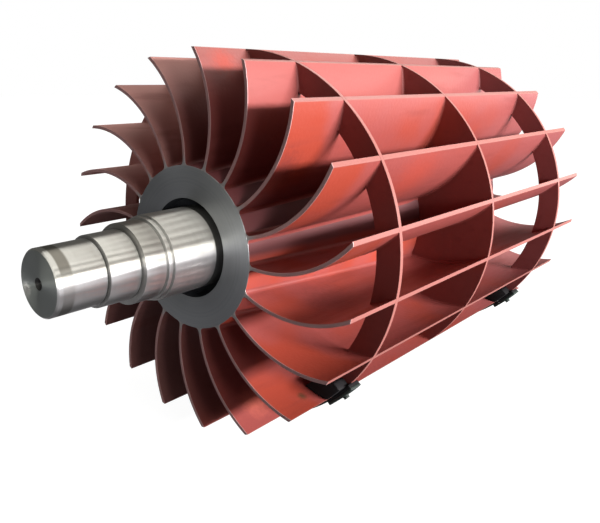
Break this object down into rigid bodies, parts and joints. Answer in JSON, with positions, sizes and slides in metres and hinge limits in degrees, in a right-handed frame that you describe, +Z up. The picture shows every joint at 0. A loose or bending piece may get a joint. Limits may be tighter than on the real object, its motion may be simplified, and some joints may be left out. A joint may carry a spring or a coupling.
{
  "type": "vacuum pump impeller on cradles",
  "caption": "Large double-sided liquid ring vacuum pump rotor with curved blades, a coned hub and a stepped bare shaft, lying on two short cradles with a rubber chock in each.",
  "frame": {"origin": "on the floor under the shaft, halfway along its length", "axes": "+Z up; +Y along the shaft from its long bare front end to the back; +X to the right, seen from the front"},
  "size_m": [1.2, 2.5806, 1.2306],
  "materials": {
    "bright_steel": "ground and polished bare steel",
    "hub_steel": "dark machined end faces, cones in matt red oxide primer",
    "red_primer": "matt to satin red oxide primer",
    "black_rubber": "matt",
    "green_paint": "dark, dull green paint"
  },
  "bodies": {
    "root": {"shaft": "bright_steel", "hub": "hub_steel", "centre_disc": "red_primer", "front_ring": "red_primer", "back_ring": "red_primer", "front_blade_01": "red_primer", "front_blade_02": "red_primer", "front_blade_03": "red_primer", "front_blade_04": "red_primer", "front_blade_05": "red_primer", "front_blade_06": "red_primer", "front_blade_07": "red_primer", "front_blade_08": "red_primer", "front_blade_09": "red_primer", "front_blade_10": "red_primer", "front_blade_11": "red_primer", "front_blade_12": "red_primer", "front_blade_13": "red_primer", "front_blade_14": "red_primer", "front_blade_15": "red_primer", "front_blade_16": "red_primer", "front_blade_17": "red_primer", "front_blade_18": "red_primer", "front_blade_19": "red_primer", "back_blade_01": "red_primer", "back_blade_02": "red_primer", "back_blade_03": "red_primer", "back_blade_04": "red_primer", "back_blade_05": "red_primer", "back_blade_06": "red_primer", "back_blade_07": "red_primer", "back_blade_08": "red_primer", "back_blade_09": "red_primer", "back_blade_10": "red_primer", "back_blade_11": "red_primer", "back_blade_12": "red_primer", "back_blade_13": "red_primer", "back_blade_14": "red_primer", "back_blade_15": "red_primer", "back_blade_16": "red_primer", "back_blade_17": "red_primer", "back_blade_18": "red_primer", "back_blade_19": "red_primer", "front_cradle_lining": "black_rubber", "back_cradle_lining": "black_rubber", "front_cradle": "green_paint", "back_cradle": "green_paint", "front_chock": "black_rubber", "back_chock": "black_rubber"}
  },
  "joints": []
}
